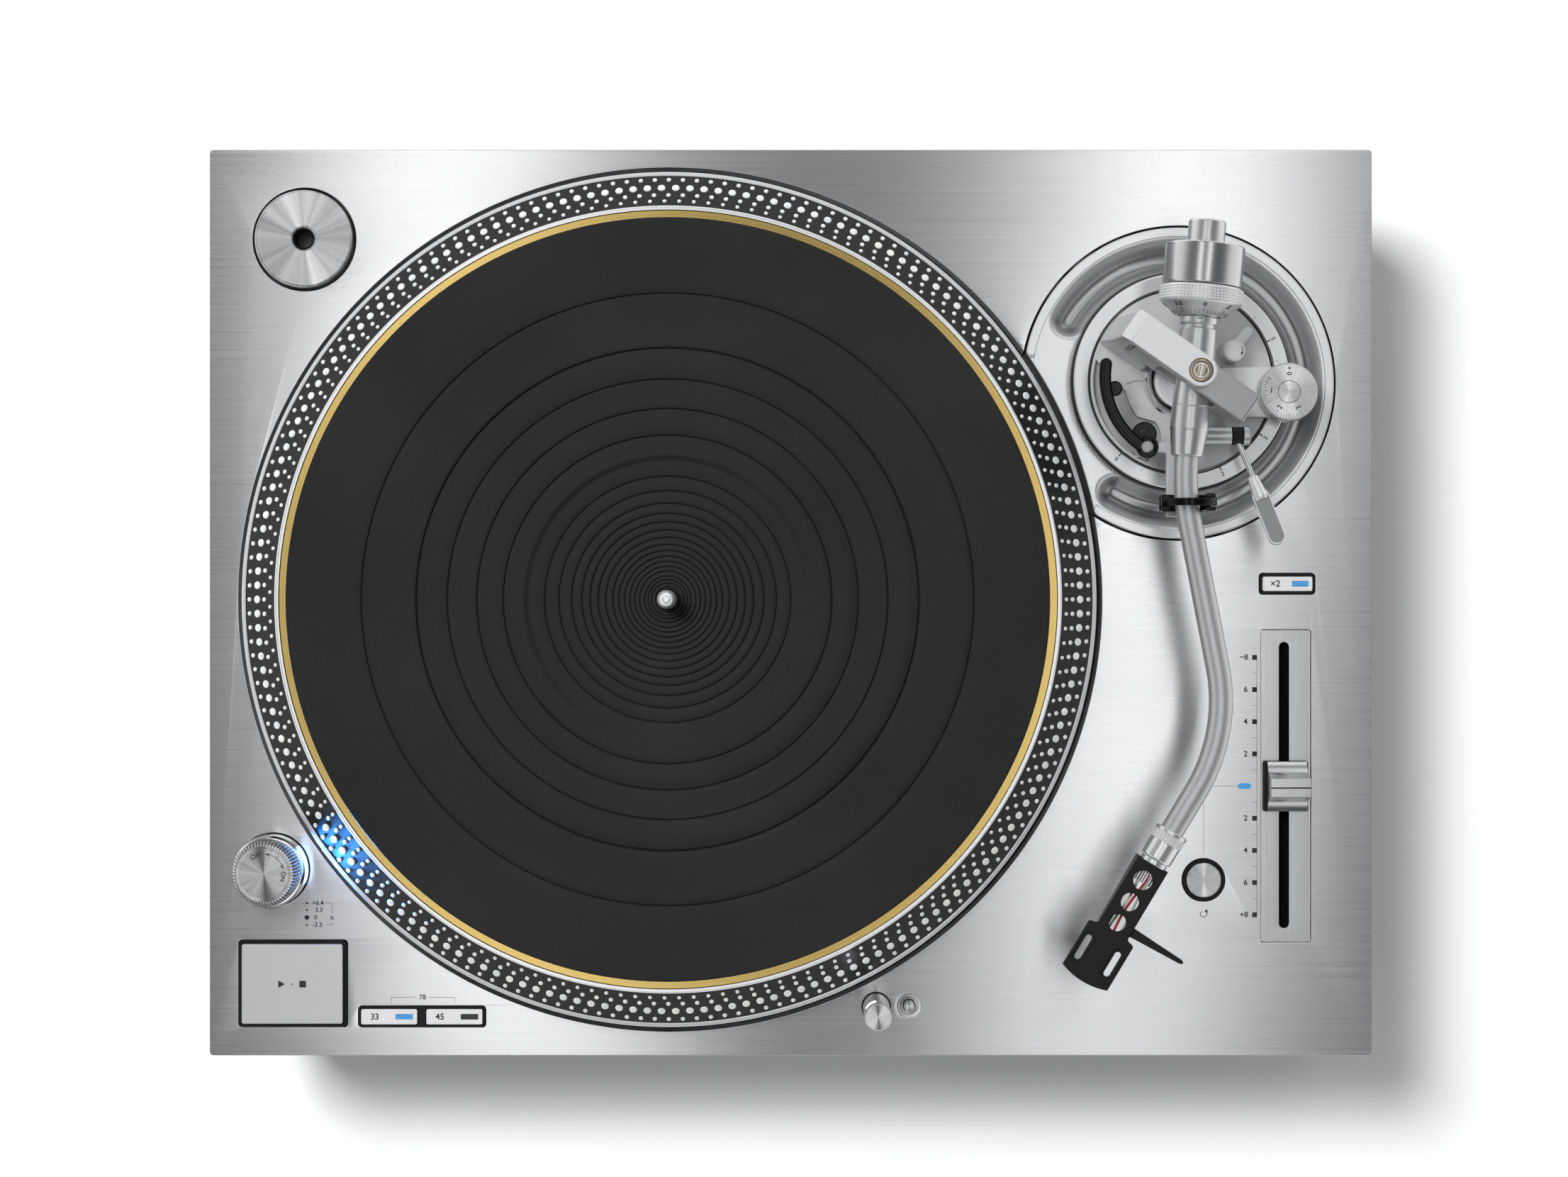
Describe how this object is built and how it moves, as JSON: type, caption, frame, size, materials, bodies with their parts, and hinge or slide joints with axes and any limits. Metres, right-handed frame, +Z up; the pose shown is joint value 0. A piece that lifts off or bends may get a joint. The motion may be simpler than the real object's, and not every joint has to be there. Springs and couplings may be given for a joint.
{
  "type": "record player",
  "caption": "Direct-drive record player with a dotted platter, S-shaped tonearm on a gimbal, pitch slider, speed keys and pop-up stylus lamp.",
  "frame": {"origin": "on the floor that the soles stand on, under the middle of the chassis", "axes": "+X to the tonearm side, +Y to the back where the mains inlet is, +Z up"},
  "size_m": [0.453, 0.353, 0.1665],
  "materials": {
    "plate": "fine bead-blasted satin, silver grey",
    "casting": "cast and painted silver, faint grain",
    "rubber_base": "heavy moulded rubber, matt black",
    "foot": "cast, satin grey",
    "winding": "enamelled copper wire on a board",
    "steel": "turned and polished",
    "magnet": "plain dark metal",
    "board": "green circuit board with parts",
    "black_plastic": "matt black",
    "contact": "gold-coloured jacks on a plate",
    "button": "satin silver",
    "turned": "turned, bright satin",
    "cast_grey": "cast, grainy satin grey",
    "arm_metal": "drawn tube, bright satin",
    "weight": "turned, bright",
    "platter_black": "black with a bright rim and bright raised dots",
    "brass": "turned, dull gold",
    "mat": "moulded rubber with ring grooves",
    "headshell_black": "fine matt black",
    "leads": "four thin insulated wires, white, red, green-blue and black",
    "window": "clear window, lit from inside"
  },
  "bodies": {
    "player": {"top_plate": "plate", "chassis_casting": "casting", "base_tray": "rubber_base", "motor_stator": "winding", "bearing_housing": "steel", "power_supply": "board", "control_board": "board", "mains_inlet": "black_plastic", "terminal_panel": "contact", "start_stop_frame": "black_plastic", "speed_frame": "black_plastic", "pitch_range_frame": "black_plastic", "reset_ring": "black_plastic", "strobe_tower": "turned", "strobe_window": "window", "fader_plate": "plate", "fader_unit": "magnet", "arm_flange": "cast_grey"},
    "foot_rear_right": {"foot_rear_right": "foot"},
    "foot_rear_left": {"foot_rear_left": "foot"},
    "foot_front_left": {"foot_front_left": "foot"},
    "foot_front_right": {"foot_front_right": "foot"},
    "platter": {"platter": "platter_black", "brass_plate": "brass", "platter_mat": "mat", "spindle": "steel", "rotor_magnet": "magnet"},
    "adaptor": {"adaptor_45": "turned"},
    "power_knob": {"power_knob": "turned"},
    "start_stop_button": {"start_stop_button": "button"},
    "speed_33_button": {"speed_33_button": "button"},
    "speed_45_button": {"speed_45_button": "button"},
    "pitch_range_button": {"pitch_range_button": "button"},
    "reset_button": {"reset_button": "button"},
    "lamp_button": {"lamp_button": "turned"},
    "stylus_lamp": {"stylus_lamp": "turned"},
    "pitch_knob": {"pitch_knob": "turned"},
    "height_ring": {"height_ring": "turned"},
    "arm_base": {"arm_base": "cast_grey", "anti_skating_arm": "cast_grey", "cue_housing": "cast_grey", "arm_rest": "cast_grey", "arm_rest_cradle": "black_plastic", "gimbal_yoke": "cast_grey", "pivot_screw": "brass"},
    "lock_lever": {"lock_lever": "turned"},
    "anti_skating_knob": {"anti_skating_knob": "turned"},
    "cue_lever": {"cue_lever": "turned"},
    "lift_bar": {"lift_bar": "black_plastic"},
    "arm_clip": {"arm_clip": "black_plastic"},
    "gimbal": {"gimbal_ring": "cast_grey"},
    "arm": {"arm_housing": "arm_metal", "arm_tube": "arm_metal"},
    "headshell_nut": {"headshell_nut": "arm_metal"},
    "headshell": {"headshell": "headshell_black", "finger_lift": "headshell_black", "headshell_leads": "leads"},
    "weight_sleeve": {"weight_sleeve": "arm_metal"},
    "counterweight": {"counterweight": "weight"},
    "force_dial": {"force_dial": "turned"}
  },
  "joints": [
    {"name": "platter_spin", "type": "hinge", "parent": "player", "child": "platter", "pos_m": [-0.047, 0.0012, 0.12], "axis": [0, 0, -1], "continuous": true},
    {"name": "adaptor_lift", "type": "slide", "parent": "player", "child": "adaptor", "axis": [0, 0, 1], "range_m": [0, 0.012]},
    {"name": "power_turn", "type": "hinge", "parent": "player", "child": "power_knob", "pos_m": [-0.2017, -0.1039, 0.1155], "axis": [0, 0, 1], "range_deg": [0, 45]},
    {"name": "start_stop_press", "type": "slide", "parent": "player", "child": "start_stop_button", "axis": [0, 0, 1], "range_m": [-0.0012, 0], "stiffness_N_per_m": 400, "springref_m": 0.0012},
    {"name": "speed_33_press", "type": "slide", "parent": "player", "child": "speed_33_button", "axis": [0, 0, 1], "range_m": [-0.001, 0], "stiffness_N_per_m": 200, "springref_m": 0.001},
    {"name": "speed_45_press", "type": "slide", "parent": "player", "child": "speed_45_button", "axis": [0, 0, 1], "range_m": [-0.001, 0], "stiffness_N_per_m": 200, "springref_m": 0.001},
    {"name": "pitch_range_press", "type": "slide", "parent": "player", "child": "pitch_range_button", "axis": [0, 0, 1], "range_m": [-0.001, 0], "stiffness_N_per_m": 200, "springref_m": 0.001},
    {"name": "reset_press", "type": "slide", "parent": "player", "child": "reset_button", "axis": [0, 0, 1], "range_m": [-0.001, 0], "stiffness_N_per_m": 200, "springref_m": 0.001},
    {"name": "lamp_press", "type": "slide", "parent": "player", "child": "lamp_button", "axis": [0, 0, 1], "range_m": [-0.001, 0], "stiffness_N_per_m": 100, "springref_m": 0.001},
    {"name": "lamp_rise", "type": "slide", "parent": "player", "child": "stylus_lamp", "axis": [0, 0, 1], "range_m": [-0.027, 0], "stiffness_N_per_m": 12, "springref_m": 0.03},
    {"name": "pitch_slide", "type": "slide", "parent": "player", "child": "pitch_knob", "axis": [0, 1, 0], "range_m": [-0.05, 0.05]},
    {"name": "height_turn", "type": "hinge", "parent": "player", "child": "height_ring", "pos_m": [0.151, 0.0855, 0.109], "axis": [0, 0, 1], "range_deg": [0, 185]},
    {"name": "base_rise", "type": "slide", "parent": "player", "child": "arm_base", "axis": [0, 0, 1], "range_m": [0, 0.006]},
    {"name": "lock_turn", "type": "hinge", "parent": "arm_base", "child": "lock_lever", "pos_m": [0.1695, 0.0963, 0.113], "axis": [0, 0, 1], "range_deg": [0, 60]},
    {"name": "anti_skating_turn", "type": "hinge", "parent": "arm_base", "child": "anti_skating_knob", "pos_m": [0.1899, 0.0803, 0.1205], "axis": [0, 0, 1], "range_deg": [-115, 90]},
    {"name": "cue_turn", "type": "hinge", "parent": "arm_base", "child": "cue_lever", "pos_m": [0.1704, 0.0638, 0.1238], "axis": [-1, 0, 0], "range_deg": [0, 38]},
    {"name": "lift_rise", "type": "slide", "parent": "arm_base", "child": "lift_bar", "axis": [0, 0, 1], "range_m": [0, 0.0045]},
    {"name": "clip_turn", "type": "hinge", "parent": "arm_base", "child": "arm_clip", "pos_m": [0.1566, 0.0375, 0.15], "axis": [0, 1, 0], "range_deg": [0, 100]},
    {"name": "arm_swing", "type": "hinge", "parent": "arm_base", "child": "gimbal", "pos_m": [0.151, 0.0855, 0.147], "axis": [0, 0, -1], "range_deg": [0, 47]},
    {"name": "arm_tilt", "type": "hinge", "parent": "gimbal", "child": "arm", "pos_m": [0.151, 0.0855, 0.147], "axis": [-0.8192, 0.5736, 0], "range_deg": [0, 4]},
    {"name": "nut_turn", "type": "hinge", "parent": "arm", "child": "headshell_nut", "pos_m": [0.14281, -0.0853, 0.147], "axis": [-0.515, -0.8572, 0], "range_deg": [0, 40]},
    {"name": "headshell_pull", "type": "slide", "parent": "arm", "child": "headshell", "axis": [-0.515, -0.8572, 0], "range_m": [0, 0.02]},
    {"name": "sleeve_slide", "type": "slide", "parent": "arm", "child": "weight_sleeve", "axis": [0.0889, 0.996, 0], "range_m": [-0.001, 0.006]},
    {"name": "counterweight_turn", "type": "hinge", "parent": "weight_sleeve", "child": "counterweight", "pos_m": [0.15456, 0.12534, 0.147], "axis": [0.0889, 0.996, 0], "range_deg": [-180, 1080]},
    {"name": "dial_turn", "type": "hinge", "parent": "counterweight", "child": "force_dial", "pos_m": [0.15358, 0.11439, 0.147], "axis": [0.0889, 0.996, 0], "continuous": true},
    {"name": "foot_rear_right_turn", "type": "hinge", "parent": "player", "child": "foot_rear_right", "pos_m": [0.176, 0.1315, 0.03], "axis": [0, 0, 1], "range_deg": [0, 360]},
    {"name": "foot_rear_left_turn", "type": "hinge", "parent": "player", "child": "foot_rear_left", "pos_m": [-0.176, 0.1315, 0.03], "axis": [0, 0, 1], "range_deg": [0, 360]},
    {"name": "foot_front_left_turn", "type": "hinge", "parent": "player", "child": "foot_front_left", "pos_m": [-0.176, -0.1315, 0.03], "axis": [0, 0, 1], "range_deg": [0, 360]},
    {"name": "foot_front_right_turn", "type": "hinge", "parent": "player", "child": "foot_front_right", "pos_m": [0.176, -0.1315, 0.03], "axis": [0, 0, 1], "range_deg": [0, 360]}
  ],
  "couplings": [
    {"joint": "height_turn", "follows": "base_rise", "rad_per_m": 538.1},
    {"joint": "lift_rise", "follows": "cue_turn", "m_per_rad": 0.00678},
    {"joint": "sleeve_slide", "follows": "counterweight_turn", "m_per_rad": 0.0003183}
  ]
}
